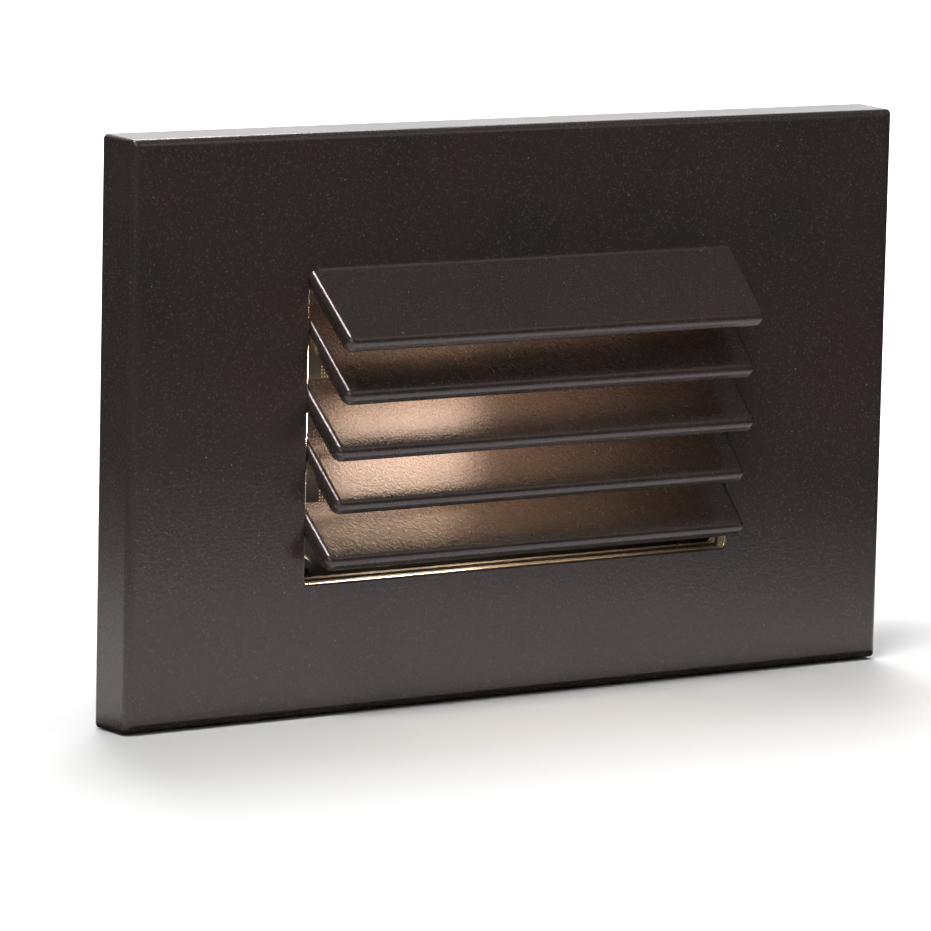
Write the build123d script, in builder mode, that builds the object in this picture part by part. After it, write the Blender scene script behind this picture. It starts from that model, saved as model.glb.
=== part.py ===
"""Louvred step light: a cast face plate over a lamp housing that goes into a single-gang wall box.

The origin is midway between the two box-screw slots, on the wall's surface. +X runs along the plate,
+Z is up, the light faces -Y and +Y goes into the wall box. Every length is in millimetres.
"""
import os
from math import cos, radians, sin, tan

from build123d import *

os.makedirs("parts", exist_ok=True)

# ------------------------------------------------------------------ driving dimensions
# Clearances
running_gap = 0.05  # round a screw, pin or post in its hole
fitting_gap = 0.1  # between pieces that drop into each other
service_gap = 0.4  # between the pull-off face and what stays on the wall
match_tolerance = 0.01  # when an edge is picked by its place

# Face plate
plate_width = 127.0
plate_height = 79.4
plate_depth = 7.4
plate_wall = 1.9
rim_wall = 2.2
rim_draft = 1.9  # degrees
rim_edge_radius = 1.2
plate_corner_radius = 0.7  # at the back; the draft makes it smaller towards the front
cast_corner_radius = 1.0
opening_side_margin = 28.0  # from the plate's sides to the opening
opening_top_margin = 18.2  # from the plate's top and bottom to the opening
opening_corner_radius = 0.5
opening_edge_radius = 0.35

# Louvre slats
slat_count = 5
slat_thickness = 2.1
top_slat_drop = 9.08  # from the opening's top edge down to the top slat's tip
bottom_slat_rise = 3.76  # from the opening's bottom edge up to the lowest slat's tip
top_slat_depth = 9.4  # of the top slat's tip in front of the plate
bottom_slat_depth = 5.6  # of the lowest slat's tip
cast_slat_angle = 43.2  # below the horizontal, on the slats cast with the plate
insert_slat_angle = 44.3  # on the slats cast with the insert
slat_end_draft = 3.2
slat_corner_radius = 1.3
slat_upper_radius = 1.0
slat_lower_radius = 0.4
slat_root_radius = 1.4  # in the corner between the top slat and the plate
slat_root_overlap = 0.15
slat_end_web = 2.0  # at each end, where a slat reaches back to what carries it
slat_standoff = 1.0  # between its ends a slat stops this far in front of the plate
slat_trim_margin = 5.0  # from the opening's top and bottom to where the slats are trimmed

# Louvre insert
insert_thickness = 1.3
insert_margin = 6.5  # how far it reaches past the opening, all round
insert_step = 0.35  # how far its window stands inside the opening
insert_side_gap = 0.55  # from its slats to the opening's sides
insert_setback = 0.2
insert_lift = 0.14
insert_root = 1.6  # how far its slats' roots run into the side bars
post_radius = 1.5
post_length = 2.4
post_inset = 3.0  # from the insert's edges
push_nut_radius = 3.4
push_nut_thickness = 0.4
push_nut_slit = 0.5
push_nut_slit_length = 4.0

# Wall gasket and what carries it
gasket_width = 4.0
gasket_thickness = 1.5
seal_rib = 1.2
web_thickness = 1.0
web_pitch = 17.0
webs_along = 7
webs_up = 4

# Mounting bracket
bracket_thickness = 1.2
bracket_end_margin = 8.35  # from a slot's centre to the bracket's end
bracket_corner_radius = 3.0
box_screw_spacing = 83.3
box_slot_length = 9.0
box_slot_width = 4.0
window_side_overlap = 2.5  # how far the window's sides cover the lens
window_top_overlap = 2.0
window_corner_radius = 2.5
tab_spacing = 76.0
tab_width = 12.0
tab_leg_length = 3.1  # from the bracket's edge out to the tab
tab_depth = 3.8
tab_bend_radius = 0.6
tab_outer_radius = 1.7
set_screw_radius = 1.5
set_screw_recess = 0.6
set_screw_socket = 1.6
set_screw_boss_width = 8.0

# Lens and its gasket
lens_width = 64.0
lens_height = 38.0
lens_thickness = 3.0
lens_corner_radius = 5.0
lens_chamfer = 0.3
gasket_lip = 0.45
gasket_wall = 1.0
gasket_overlap = 2.0

# Housing
housing_side_margin = 3.5  # from the lens out to the housing's sides
housing_top_margin = 3.8
housing_corner_radius = 3.0
housing_draft = 1.0
chamber_depth = 8.0
heat_wall = 2.0
driver_wall = 3.0
compartment_corner_radius = 2.0
case_screw_inset = 2.3
boss_overlap = 0.6  # how far the cover screws' bosses run into the walls
fin_pitch = 4.0
fin_gap = 2.0
fin_count = 14
fin_height = 1.0
fin_start = 6.0

# Screws
screw_radius = 1.25
screw_head_radius = 2.3
screw_head_height = 1.6
screw_head_chamfer = 0.5
screw_recess_width = 0.6
screw_recess_length = 2.3
screw_hole_radius = 1.45
case_screw_length = 8.0
board_screw_length = 5.0
led_screw_length = 3.4
cover_screw_length = 8.0
screw_boss_radius = 2.6

# Light engine
thermal_pad_thickness = 0.3
led_board_side_gap = 4.0  # to the light chamber's walls
led_board_top_gap = 3.5
led_board_thickness = 1.6
led_screw_inset = 3.5
led_width = 3.5
led_height = 2.8
led_thickness = 0.8
led_taper = 8.0
led_pitch_x = 9.5
led_pitch_z = 10.0
led_columns = 4
led_rows = 2
reflector_wall = 1.0
reflector_taper = 24.0
feed_pin_radius = 0.5
feed_pin_spacing = 2.54
feed_pin_inset = 3.0  # from the LED board's lower edge
feed_pin_room = 1.0  # from a feed pin's axis to the reflector
bushing_block_width = 7.0
bushing_block_height = 3.6

# Driver
driver_board_gap = 2.8  # to the compartment's walls
driver_board_thickness = 1.6
standoff_height = 4.0
driver_screw_inset = 3.6
insulator_wall = 0.5
insulator_skirt = 8.0
insulator_gap = 0.3
driver_room = 13.5  # from the driver board's back to the housing's rear face

# Parts on the driver board; each place is (x, z)
can_chamfer = 0.5
filter_capacitor_place = (14.0, 5.0)
filter_capacitor_radius = 4.0
filter_capacitor_length = 11.0
output_capacitor_place = (-14.0, 7.5)
output_capacitor_radius = 3.15
output_capacitor_length = 11.0
film_capacitor_place = (15.0, -9.0)
film_capacitor_width = 12.0
film_capacitor_height = 5.0
film_capacitor_length = 10.0
transformer_x = 0.0
transformer_z = 3.5
core_width = 13.0
core_height = 13.0
core_thickness = 6.0
core_leg = 2.0
core_post = 3.5
spool_depth = 10.4
spool_wall = 0.6
choke_place = (-14.0, -2.5)
choke_radius = 3.2
choke_length = 7.5
choke_flange = 1.5
choke_groove = 0.5
lead_length = 0.9
lead_thickness = 0.3
lead_width = 0.5
rectifier_place = (-8.0, -11.0)
rectifier_width = 4.7
rectifier_height = 6.2
rectifier_thickness = 2.5
rectifier_lead_count = 2  # on each side
rectifier_lead_pitch = 5.1
chip_place = (-17.0, -11.0)
chip_width = 3.9
chip_height = 4.9
chip_thickness = 1.5
chip_lead_count = 4  # on each side
chip_lead_pitch = 1.27
varistor_x = 23.0
varistor_z = 2.0
varistor_radius = 3.5
varistor_thickness = 3.2
varistor_stand = 0.8
varistor_lead_radius = 0.3
varistor_lead_spacing = 5.0
fuse_x = -23.5
fuse_z = 0.0
fuse_radius = 1.6
fuse_length = 8.0
fuse_cap_length = 1.6
fuse_cap_step = 0.15

# Rear cover
cover_gasket_thickness = 0.8
cover_thickness = 2.0
cover_edge_chamfer = 0.6
bushing_hole_radius = 6.0
wire_bore_radius = 3.5
bushing_flange_radius = 7.5
bushing_flange_thickness = 1.3
bushing_lip = 0.5
bushing_lip_length = 0.9
ground_screw_x = -20.0
ground_screw_radius = 1.9
ground_screw_length = 3.6
ground_boss_radius = 3.2
ground_boss_height = 1.8
ground_washer_radius = 4.0
ground_washer_thickness = 0.7
ground_hex_radius = 3.5
ground_hex_height = 2.0
ground_slot_width = 0.8

# ------------------------------------------------------------------ places worked out from them
# Depths are y values: negative is in front of the wall, positive inside the wall box.
plate_front = -plate_depth
plate_inside = plate_front + plate_wall
insert_back = plate_inside + insert_thickness
bracket_front = -bracket_thickness
lens_front = gasket_lip
lens_back = lens_front + lens_thickness
pocket_back = lens_back + gasket_lip
heat_wall_front = pocket_back + chamber_depth
heat_wall_back = heat_wall_front + heat_wall
led_board_back = heat_wall_front - thermal_pad_thickness
led_board_front = led_board_back - led_board_thickness
driver_board_front = heat_wall_back + standoff_height
driver_board_back = driver_board_front + driver_board_thickness
housing_depth = driver_board_back + driver_room
cover_front = housing_depth + cover_gasket_thickness
cover_back = cover_front + cover_thickness
insulator_front = cover_front - insulator_wall

rim_flare = plate_depth * tan(radians(rim_draft))
opening_width = plate_width - 2 * opening_side_margin
opening_height = plate_height - 2 * opening_top_margin
top_slat_height = opening_height / 2 - top_slat_drop
bottom_slat_height = bottom_slat_rise - opening_height / 2
top_root_height = top_slat_height + top_slat_depth * tan(radians(cast_slat_angle))
lintel_height = top_root_height - slat_thickness / 2
slat_pitch = (top_slat_height - bottom_slat_height) / (slat_count - 1)
slat_setback = (top_slat_depth - bottom_slat_depth) / (slat_count - 1)
slat_trim_width = opening_width - 2 * slat_end_web
slat_trim_height = opening_height - 2 * slat_trim_margin
slat_trim_front = plate_front - slat_standoff
cavity_width = plate_width - 2 * rim_wall
cavity_height = plate_height - 2 * rim_wall
seal_outer_width = cavity_width - 2 * (gasket_width - seal_rib)
seal_outer_height = cavity_height - 2 * (gasket_width - seal_rib)
seal_inner_width = seal_outer_width - 2 * seal_rib
seal_inner_height = seal_outer_height - 2 * seal_rib
tab_outer = seal_inner_height / 2 - service_gap
bracket_width = box_screw_spacing + 2 * bracket_end_margin
bracket_height = 2 * (tab_outer - tab_leg_length)
set_screw_y = (plate_inside - gasket_thickness) / 2

insert_width = opening_width + 2 * insert_margin
insert_height = opening_height + 2 * insert_margin
post_spacing_x = insert_width - 2 * post_inset
post_spacing_z = insert_height - 2 * post_inset

window_width = lens_width - 2 * window_side_overlap
window_height = lens_height - 2 * window_top_overlap
pocket_width = lens_width + 2 * gasket_wall
pocket_height = lens_height + 2 * gasket_wall
pocket_corner_radius = lens_corner_radius + gasket_wall
aperture_width = lens_width - 2 * gasket_overlap
aperture_height = lens_height - 2 * gasket_overlap
aperture_corner_radius = lens_corner_radius - gasket_overlap
housing_width = lens_width + 2 * housing_side_margin
housing_height = lens_height + 2 * housing_top_margin
case_screw_x = housing_width - 2 * case_screw_inset
case_screw_z = housing_height - 2 * case_screw_inset
housing_shrink = housing_depth * tan(radians(housing_draft))
rear_width = housing_width - 2 * housing_shrink
rear_height = housing_height - 2 * housing_shrink
compartment_width = rear_width - 2 * driver_wall
compartment_height = rear_height - 2 * driver_wall
cover_screw_x = compartment_width - 2 * (screw_boss_radius - boss_overlap)
cover_screw_z = compartment_height - 2 * (screw_boss_radius - boss_overlap)
led_board_width = aperture_width - 2 * led_board_side_gap
led_board_height = aperture_height - 2 * led_board_top_gap
led_screw_spacing = led_board_width - 2 * led_screw_inset
feed_pin_height = feed_pin_inset - led_board_height / 2
driver_board_width = compartment_width - 2 * driver_board_gap
driver_board_height = compartment_height - 2 * driver_board_gap
driver_screw_x = driver_board_width - 2 * driver_screw_inset
driver_screw_z = driver_board_height - 2 * driver_screw_inset


def wall_plane(depth):
    """A plane parallel to the wall at y = depth; its normal points out of the wall, at the viewer."""
    return Plane.XZ.offset(-depth)


def box_plane(depth):
    """The same plane, looking into the wall box: its normal points along +Y."""
    return Plane(origin=(0, depth, 0), x_dir=(-1, 0, 0), z_dir=(0, 1, 0))


def slat_tip(index):
    """How far slat number index (0 is the top one) reaches and how high its tip is."""
    reach = top_slat_depth - index * slat_setback
    height = top_slat_height - index * slat_pitch
    return reach, height


def louvre_slat(reach, height, angle, root_width, back):
    """One slat: a drafted blade that slopes back and up from its tip, cut off square at y = back."""
    slope = radians(angle)
    tip_plane = Plane(
        origin=(0, plate_front - reach, height),
        x_dir=(1, 0, 0),
        z_dir=(0, -sin(slope), cos(slope)),
    )
    to_plate = reach / cos(slope)
    length = (reach + back - plate_front) / cos(slope) + slat_thickness
    narrowing = tan(radians(slat_end_draft))
    tip_half = root_width / 2 - to_plate * narrowing
    end_half = tip_half + length * narrowing
    with BuildPart() as slat:
        with BuildSketch(tip_plane) as outline:
            with BuildLine():
                Polyline((-tip_half, 0), (tip_half, 0), (end_half, length), (-end_half, length), close=True)
            make_face()
            fillet(outline.vertices().sort_by(Axis.Y)[:2], slat_corner_radius)
        extrude(amount=-slat_thickness)
        up_the_slope = Axis(tip_plane.origin, tip_plane.y_dir)
        through_the_slat = Axis(tip_plane.origin, tip_plane.z_dir)
        lower_face = slat.faces().sort_by(through_the_slat)[0]
        fillet(lower_face.edges().sort_by(up_the_slope)[:-1], slat_lower_radius)
        upper_face = slat.faces().sort_by(through_the_slat)[-1]
        fillet(upper_face.edges().sort_by(up_the_slope)[:-1], slat_upper_radius)
        split(bisect_by=wall_plane(back), keep=Keep.TOP)
    return slat.part


def pan_screw(length):
    """A pan-head screw that seats on XY, with its head up and its shank along -Z."""
    with BuildPart() as screw:
        Cylinder(screw_head_radius, screw_head_height, align=(Align.CENTER, Align.CENTER, Align.MIN))
        chamfer(screw.edges().filter_by(GeomType.CIRCLE).sort_by(Axis.Z)[-1], screw_head_chamfer)
        Cylinder(screw_radius, length, align=(Align.CENTER, Align.CENTER, Align.MAX))
        with BuildSketch(Plane.XY.offset(screw_head_height)):
            Rectangle(screw_recess_length, screw_recess_width)
            Rectangle(screw_recess_width, screw_recess_length)
        extrude(amount=-screw_head_height / 2, mode=Mode.SUBTRACT)
    return screw.part


# ------------------------------------------------------------------ face: the part that pulls off
cast_slats = []
insert_slats = []
insert_tips = []
for number in range(slat_count):
    tip_reach, tip_height = slat_tip(number)
    if number % 2 == 0:
        cast_root = opening_width + 2 * slat_root_overlap
        cast_slats.append(louvre_slat(tip_reach, tip_height, cast_slat_angle, cast_root, plate_inside))
    else:
        insert_tip = (tip_reach - insert_setback, tip_height + insert_lift)
        insert_root_width = opening_width - 2 * insert_side_gap
        insert_slats.append(louvre_slat(*insert_tip, insert_slat_angle, insert_root_width, insert_back))
        insert_tips.append(insert_tip)

with BuildPart() as face_plate:
    with BuildSketch(wall_plane(0)):
        RectangleRounded(plate_width + 2 * rim_flare, plate_height + 2 * rim_flare, plate_corner_radius)
    extrude(amount=plate_depth, taper=rim_draft)
    fillet(face_plate.faces().sort_by(Axis.Y)[0].edges(), rim_edge_radius)
    with BuildSketch(wall_plane(0)):
        RectangleRounded(cavity_width, cavity_height, cast_corner_radius)
    extrude(amount=-plate_inside, mode=Mode.SUBTRACT)
    with BuildSketch(wall_plane(plate_front)):
        with Locations((0, (lintel_height - opening_height / 2) / 2)):
            RectangleRounded(opening_width, lintel_height + opening_height / 2, opening_corner_radius)
    extrude(amount=-plate_wall, mode=Mode.SUBTRACT)
    front_face = face_plate.faces().sort_by(Axis.Y)[0]
    fillet(front_face.inner_wires()[0].edges(), opening_edge_radius)
    # The rib that carries the gasket's inner edge, webs from it to the rim, and the set screws' bosses
    with BuildSketch(wall_plane(plate_inside)):
        RectangleRounded(seal_outer_width, seal_outer_height, cast_corner_radius)
        RectangleRounded(seal_inner_width, seal_inner_height, cast_corner_radius / 2, mode=Mode.SUBTRACT)
        web_length = (cavity_height - seal_inner_height) / 2
        with GridLocations(web_pitch, cavity_height - web_length, webs_along, 2):
            Rectangle(web_thickness, web_length)
        with GridLocations(cavity_width - web_length, web_pitch, 2, webs_up):
            Rectangle(web_length, web_thickness)
        with GridLocations(tab_spacing, cavity_height - web_length, 2, 2):
            Rectangle(set_screw_boss_width, web_length)
        pad_height = service_gap - fitting_gap
        with Locations((0, seal_inner_height / 2 - pad_height / 2)):
            with GridLocations(tab_spacing, 0, 2, 1):
                Rectangle(set_screw_boss_width, pad_height)
    extrude(amount=plate_inside + gasket_thickness)
    with BuildSketch(Plane.XY.offset(-plate_height / 2 - rim_flare)):
        with Locations((0, set_screw_y)):
            with GridLocations(tab_spacing, 0, 2, 1):
                Circle(set_screw_radius + running_gap)
    extrude(amount=rim_flare + rim_wall + web_length + fitting_gap, mode=Mode.SUBTRACT)
    with BuildSketch(wall_plane(plate_inside)):
        with GridLocations(post_spacing_x, post_spacing_z, 2, 2):
            Circle(post_radius)
    extrude(amount=-post_length)
    add(cast_slats)
    # Between their ends the slats below the top one are trimmed, so that the lamp's light gets past them
    with BuildSketch(wall_plane(plate_inside)):
        Rectangle(slat_trim_width, slat_trim_height)
    extrude(amount=plate_inside - slat_trim_front, mode=Mode.SUBTRACT)
    # The radius cast into the corner where the top slat leaves the plate
    top_slope = radians(cast_slat_angle)
    radius_centre_y = plate_front - slat_root_radius
    radius_centre_z = top_root_height + slat_root_radius * (1 - sin(top_slope)) / cos(top_slope)
    radius_start_y = radius_centre_y + slat_root_radius * sin(top_slope)
    radius_start_z = radius_centre_z - slat_root_radius * cos(top_slope)
    with BuildSketch(Plane.YZ):
        with BuildLine():
            CenterArc(
                (radius_centre_y, radius_centre_z), slat_root_radius, 0, cast_slat_angle - 90
            )
            Polyline(
                (radius_start_y, radius_start_z),
                (plate_inside, radius_start_z),
                (plate_inside, radius_centre_z),
                (plate_front, radius_centre_z),
            )
        make_face()
    extrude(amount=opening_width / 2 - slat_upper_radius, both=True)
face_plate.part.label = "face_plate"
export_step(face_plate.part, "parts/face_plate.step")

with BuildPart() as louvre_insert:
    with BuildSketch(wall_plane(insert_back)):
        RectangleRounded(insert_width, insert_height, cast_corner_radius)
        RectangleRounded(
            opening_width - 2 * insert_step,
            opening_height - 2 * insert_step,
            opening_corner_radius,
            mode=Mode.SUBTRACT,
        )
        with GridLocations(post_spacing_x, post_spacing_z, 2, 2):
            Circle(post_radius + running_gap, mode=Mode.SUBTRACT)
    extrude(amount=insert_thickness)
    add(insert_slats)
    # Roots that carry the slats' ends into the side bars, within the insert's thickness
    for root_reach, root_height in insert_tips:
        climb = tan(radians(insert_slat_angle))
        face_drop = slat_thickness / cos(radians(insert_slat_angle))
        front_height = root_height + (plate_wall + root_reach) * climb
        back_height = front_height + insert_thickness * climb
        with BuildSketch(Plane.YZ):
            with BuildLine():
                Polyline(
                    (plate_inside, front_height),
                    (insert_back, back_height),
                    (insert_back, back_height - face_drop),
                    (plate_inside, front_height - face_drop),
                    close=True,
                )
            make_face()
        extrude(amount=opening_width / 2 + insert_root, both=True)
    with BuildSketch(wall_plane(insert_back)):
        Rectangle(slat_trim_width, slat_trim_height)
    extrude(amount=insert_back - slat_trim_front, mode=Mode.SUBTRACT)
louvre_insert.part.label = "louvre_insert"
export_step(louvre_insert.part, "parts/louvre_insert.step")

with BuildPart() as insert_push_nuts:
    with BuildSketch(wall_plane(insert_back + push_nut_thickness)):
        with GridLocations(post_spacing_x, post_spacing_z, 2, 2):
            Circle(push_nut_radius)
            Circle(post_radius + running_gap, mode=Mode.SUBTRACT)
            Rectangle(push_nut_slit_length, push_nut_slit, mode=Mode.SUBTRACT)
            Rectangle(push_nut_slit, push_nut_slit_length, mode=Mode.SUBTRACT)
    extrude(amount=push_nut_thickness)
insert_push_nuts.part.label = "insert_push_nuts"
export_step(insert_push_nuts.part, "parts/insert_push_nuts.step")

set_screw_start = -plate_height / 2 + set_screw_recess
with BuildPart() as set_screws:
    with BuildSketch(Plane.XY.offset(set_screw_start)):
        with Locations((0, set_screw_y)):
            with GridLocations(tab_spacing, 0, 2, 1):
                Circle(set_screw_radius)
    extrude(amount=-tab_outer - fitting_gap - set_screw_start)
    with BuildSketch(Plane.XY.offset(set_screw_start)):
        with Locations((0, set_screw_y)):
            with GridLocations(tab_spacing, 0, 2, 1):
                RegularPolygon(set_screw_socket / 2, 6)
    extrude(amount=set_screw_socket, mode=Mode.SUBTRACT)
set_screws.part.label = "set_screws"
export_step(set_screws.part, "parts/set_screws.step")

with BuildPart() as wall_gasket:
    with BuildSketch(wall_plane(0)):
        gasket_outer_width = cavity_width - 2 * fitting_gap
        gasket_outer_height = cavity_height - 2 * fitting_gap
        RectangleRounded(gasket_outer_width, gasket_outer_height, cast_corner_radius)
        RectangleRounded(
            gasket_outer_width - 2 * gasket_width,
            gasket_outer_height - 2 * gasket_width,
            cast_corner_radius,
            mode=Mode.SUBTRACT,
        )
    extrude(amount=gasket_thickness)
wall_gasket.part.label = "wall_gasket"
export_step(wall_gasket.part, "parts/wall_gasket.step")

# ------------------------------------------------------------------ bracket and its screws
with BuildPart() as mounting_bracket:
    with BuildSketch(wall_plane(0)):
        RectangleRounded(bracket_width, bracket_height, bracket_corner_radius)
        with GridLocations(tab_spacing, 2 * tab_outer - tab_width, 2, 2):
            Rectangle(tab_width, tab_width)
        RectangleRounded(window_width, window_height, window_corner_radius, mode=Mode.SUBTRACT)
        with GridLocations(box_screw_spacing, 0, 2, 1):
            SlotOverall(box_slot_length, box_slot_width, mode=Mode.SUBTRACT)
        with GridLocations(case_screw_x, case_screw_z, 2, 2):
            Circle(screw_hole_radius, mode=Mode.SUBTRACT)
    extrude(amount=bracket_thickness)
    with BuildSketch(wall_plane(bracket_front)):
        with GridLocations(tab_spacing, 2 * tab_outer - bracket_thickness, 2, 2):
            Rectangle(tab_width, bracket_thickness)
    extrude(amount=tab_depth)
    bends = mounting_bracket.edges().filter_by(Axis.X).filter_by(
        lambda edge: edge.length < tab_width + match_tolerance
    )
    outer_bends = bends.filter_by(
        lambda edge: abs(edge.center().Y) < match_tolerance
        and abs(abs(edge.center().Z) - tab_outer) < match_tolerance
    )
    inner_bends = bends.filter_by(
        lambda edge: abs(edge.center().Y - bracket_front) < match_tolerance
        and abs(abs(edge.center().Z) - tab_outer + bracket_thickness) < match_tolerance
    )
    fillet(inner_bends, tab_bend_radius)
    fillet(outer_bends, tab_outer_radius)
mounting_bracket.part.label = "mounting_bracket"
export_step(mounting_bracket.part, "parts/mounting_bracket.step")

case_screw = pan_screw(case_screw_length)
with BuildPart(wall_plane(bracket_front)) as bracket_screws:
    with GridLocations(case_screw_x, case_screw_z, 2, 2):
        add(case_screw)
bracket_screws.part.label = "bracket_screws"
export_step(bracket_screws.part, "parts/bracket_screws.step")

# ------------------------------------------------------------------ lens and gasket
with BuildPart() as lens:
    with BuildSketch(wall_plane(lens_back)):
        RectangleRounded(lens_width, lens_height, lens_corner_radius)
    extrude(amount=lens_thickness)
    chamfer(lens.faces().sort_by(Axis.Y)[0].edges(), lens_chamfer)
lens.part.label = "lens"
export_step(lens.part, "parts/lens.step")

with BuildPart() as lens_gasket:
    with BuildSketch(wall_plane(pocket_back)):
        RectangleRounded(pocket_width, pocket_height, pocket_corner_radius)
        RectangleRounded(aperture_width, aperture_height, aperture_corner_radius, mode=Mode.SUBTRACT)
    extrude(amount=pocket_back)
    with BuildSketch(wall_plane(lens_back)):
        RectangleRounded(lens_width, lens_height, lens_corner_radius)
    extrude(amount=lens_thickness, mode=Mode.SUBTRACT)
lens_gasket.part.label = "lens_gasket"
export_step(lens_gasket.part, "parts/lens_gasket.step")

# ------------------------------------------------------------------ housing
with BuildPart() as housing:
    with BuildSketch(wall_plane(housing_depth)):
        RectangleRounded(rear_width, rear_height, housing_corner_radius - housing_shrink)
    extrude(amount=housing_depth, taper=-housing_draft)
    # Cooling fins on the top and the bottom, open at the back
    with BuildSketch(wall_plane(housing_depth)):
        with GridLocations(fin_pitch, rear_height, fin_count, 2):
            Rectangle(fin_gap, 2 * fin_height)
    extrude(amount=housing_depth - fin_start, mode=Mode.SUBTRACT)
    # Lens pocket, light chamber and driver compartment
    with BuildSketch(wall_plane(0)):
        RectangleRounded(
            pocket_width + 2 * fitting_gap, pocket_height + 2 * fitting_gap, pocket_corner_radius
        )
    extrude(amount=-pocket_back, mode=Mode.SUBTRACT)
    with BuildSketch(wall_plane(heat_wall_front)):
        RectangleRounded(aperture_width, aperture_height, aperture_corner_radius)
    extrude(amount=heat_wall_front - pocket_back, mode=Mode.SUBTRACT)
    with BuildSketch(wall_plane(housing_depth)):
        RectangleRounded(compartment_width, compartment_height, compartment_corner_radius)
    extrude(amount=housing_depth - heat_wall_back, mode=Mode.SUBTRACT)
    # Bosses for the rear cover's screws, and standoffs for the driver board
    with BuildSketch(wall_plane(housing_depth)):
        with GridLocations(cover_screw_x, cover_screw_z, 2, 2):
            Circle(screw_boss_radius)
    extrude(amount=housing_depth - heat_wall_back)
    with BuildSketch(wall_plane(driver_board_front)):
        with GridLocations(driver_screw_x, driver_screw_z, 2, 2):
            Circle(screw_boss_radius)
    extrude(amount=standoff_height)
    # Screw holes
    with BuildSketch(wall_plane(0)):
        with GridLocations(case_screw_x, case_screw_z, 2, 2):
            Circle(screw_radius + running_gap)
    extrude(amount=-case_screw_length, mode=Mode.SUBTRACT)
    with BuildSketch(wall_plane(housing_depth)):
        with GridLocations(cover_screw_x, cover_screw_z, 2, 2):
            Circle(screw_radius + running_gap)
    extrude(amount=cover_screw_length, mode=Mode.SUBTRACT)
    with BuildSketch(wall_plane(driver_board_front)):
        with GridLocations(driver_screw_x, driver_screw_z, 2, 2):
            Circle(screw_radius + running_gap)
    extrude(amount=standoff_height, mode=Mode.SUBTRACT)
    with BuildSketch(wall_plane(heat_wall_back)):
        with GridLocations(led_screw_spacing, 0, 2, 1):
            Circle(screw_radius + running_gap)
        with Locations((0, feed_pin_height)):
            Rectangle(bushing_block_width + 2 * running_gap, bushing_block_height + 2 * running_gap)
    extrude(amount=heat_wall, mode=Mode.SUBTRACT)
housing.part.label = "housing"
export_step(housing.part, "parts/housing.step")

# ------------------------------------------------------------------ light engine
led_screw = pan_screw(led_screw_length)

with BuildPart() as reflector:
    reflector_depth = led_board_front - pocket_back
    mouth_width = aperture_width - 2 * fitting_gap
    mouth_height = aperture_height - 2 * fitting_gap
    with BuildSketch(box_plane(pocket_back)):
        RectangleRounded(mouth_width, mouth_height, aperture_corner_radius)
    extrude(amount=reflector_depth, taper=reflector_taper)
    with BuildSketch(box_plane(pocket_back)):
        RectangleRounded(
            mouth_width - 2 * reflector_wall, mouth_height - 2 * reflector_wall, aperture_corner_radius
        )
    extrude(amount=reflector_depth - reflector_wall, taper=reflector_taper, mode=Mode.SUBTRACT)
    # Windows for the LED packages, the board screws' heads and the feed pins
    with BuildSketch(box_plane(pocket_back)):
        with GridLocations(led_pitch_x, led_pitch_z, led_columns, led_rows):
            Rectangle(led_width + 2 * fitting_gap, led_height + 2 * fitting_gap)
        with GridLocations(led_screw_spacing, 0, 2, 1):
            Circle(screw_head_radius + fitting_gap)
        with Locations((0, feed_pin_height)):
            Rectangle(feed_pin_spacing + 2 * feed_pin_room, 2 * feed_pin_room)
    extrude(amount=reflector_depth, mode=Mode.SUBTRACT)
reflector.part.label = "reflector"
export_step(reflector.part, "parts/reflector.step")

with BuildPart() as led_board:
    with BuildSketch(wall_plane(led_board_back)):
        Rectangle(led_board_width, led_board_height)
        with GridLocations(led_screw_spacing, 0, 2, 1):
            Circle(screw_hole_radius, mode=Mode.SUBTRACT)
        with Locations((0, feed_pin_height)):
            with GridLocations(feed_pin_spacing, 0, 2, 1):
                Circle(feed_pin_radius + running_gap, mode=Mode.SUBTRACT)
    extrude(amount=led_board_thickness)
led_board.part.label = "led_board"
export_step(led_board.part, "parts/led_board.step")

with BuildPart() as led_packages:
    with BuildSketch(wall_plane(led_board_front)):
        with GridLocations(led_pitch_x, led_pitch_z, led_columns, led_rows):
            Rectangle(led_width, led_height)
    extrude(amount=led_thickness, taper=led_taper)
led_packages.part.label = "led_packages"
export_step(led_packages.part, "parts/led_packages.step")

with BuildPart(wall_plane(led_board_front)) as led_board_screws:
    with GridLocations(led_screw_spacing, 0, 2, 1):
        add(led_screw)
led_board_screws.part.label = "led_board_screws"
export_step(led_board_screws.part, "parts/led_board_screws.step")

with BuildPart() as thermal_pad:
    with BuildSketch(wall_plane(heat_wall_front)):
        Rectangle(led_board_width, led_board_height)
        with GridLocations(led_screw_spacing, 0, 2, 1):
            Circle(screw_hole_radius, mode=Mode.SUBTRACT)
        with Locations((0, feed_pin_height)):
            Rectangle(
                bushing_block_width + 2 * running_gap,
                bushing_block_height + 2 * running_gap,
                mode=Mode.SUBTRACT,
            )
    extrude(amount=thermal_pad_thickness)
thermal_pad.part.label = "thermal_pad"
export_step(thermal_pad.part, "parts/thermal_pad.step")

with BuildPart() as feed_pins:
    with BuildSketch(wall_plane(driver_board_back)):
        with Locations((0, feed_pin_height)):
            with GridLocations(feed_pin_spacing, 0, 2, 1):
                Circle(feed_pin_radius)
    extrude(amount=driver_board_back - led_board_front + led_thickness)
feed_pins.part.label = "feed_pins"
export_step(feed_pins.part, "parts/feed_pins.step")

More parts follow.
